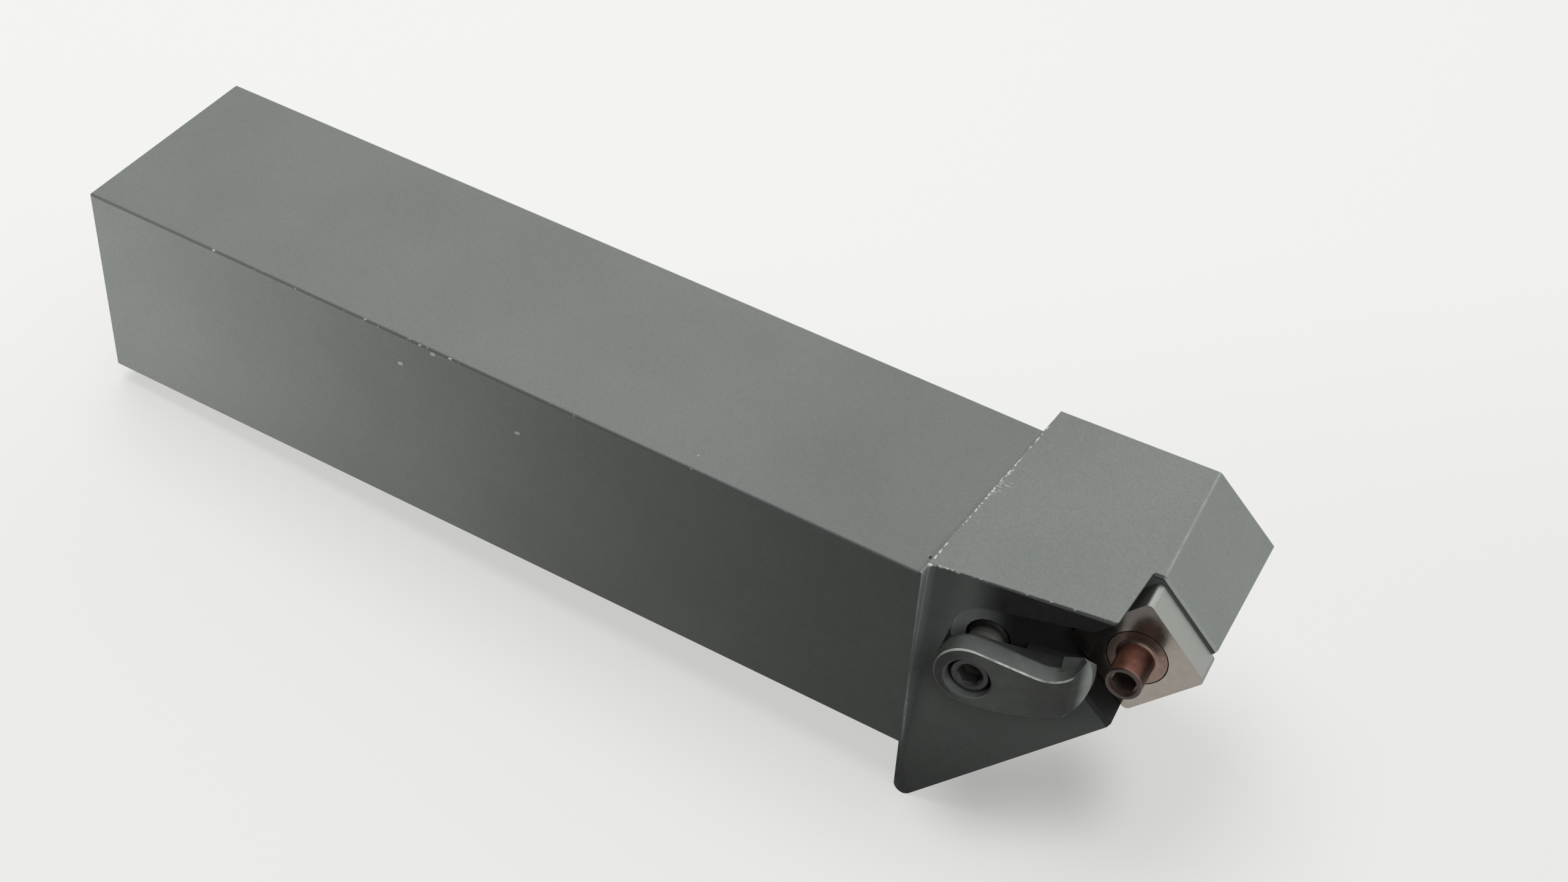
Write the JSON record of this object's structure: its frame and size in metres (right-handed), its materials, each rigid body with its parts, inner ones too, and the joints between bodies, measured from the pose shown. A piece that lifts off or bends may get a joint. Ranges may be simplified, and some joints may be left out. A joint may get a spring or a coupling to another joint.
{
  "type": "turning tool holder",
  "caption": "External turning tool holder with a square shank, an offset head set at 45 degrees, and a square insert pocket with shim, lock pin and finger clamp.",
  "frame": {"origin": "centre of the shank's back end", "axes": "+X along the shank toward the cutting head, +Y through the shank face away from the insert, +Z through the shank face beside the head's shorter drop"},
  "size_m": [0.1685, 0.0386, 0.0416],
  "materials": {
    "blackened_steel": "blackened, satin",
    "carbide": "ground carbide",
    "coppered_steel": "copper-brown, heat tinted",
    "forged_steel": "blackened forging",
    "screw_steel": "blackened"
  },
  "bodies": {
    "holder": {"tool_body": "blackened_steel", "shim": "carbide"},
    "clamp": {"clamp": "forged_steel"},
    "clamp_screw": {"clamp_screw": "screw_steel"},
    "lock_pin": {"lock_pin": "coppered_steel"}
  },
  "joints": [
    {"name": "clamp_lift", "type": "slide", "parent": "holder", "child": "clamp", "axis": [0.1561, -0.9863, 0.0525], "range_m": [0, 0.004]},
    {"name": "clamp_screw_turn", "type": "hinge", "parent": "holder", "child": "clamp_screw", "pos_m": [0.14156, -0.01356, 0.00125], "axis": [0.1561, -0.9863, 0.0525], "range_deg": [0, 720]},
    {"name": "lock_pin_turn", "type": "hinge", "parent": "holder", "child": "lock_pin", "pos_m": [0.15941, -0.00099, 0.00663], "axis": [0.0984, -0.9903, 0.0984], "range_deg": [-360, 0]}
  ],
  "couplings": [
    {"joint": "clamp_screw_turn", "follows": "clamp_lift", "rad_per_m": 3141.6}
  ]
}
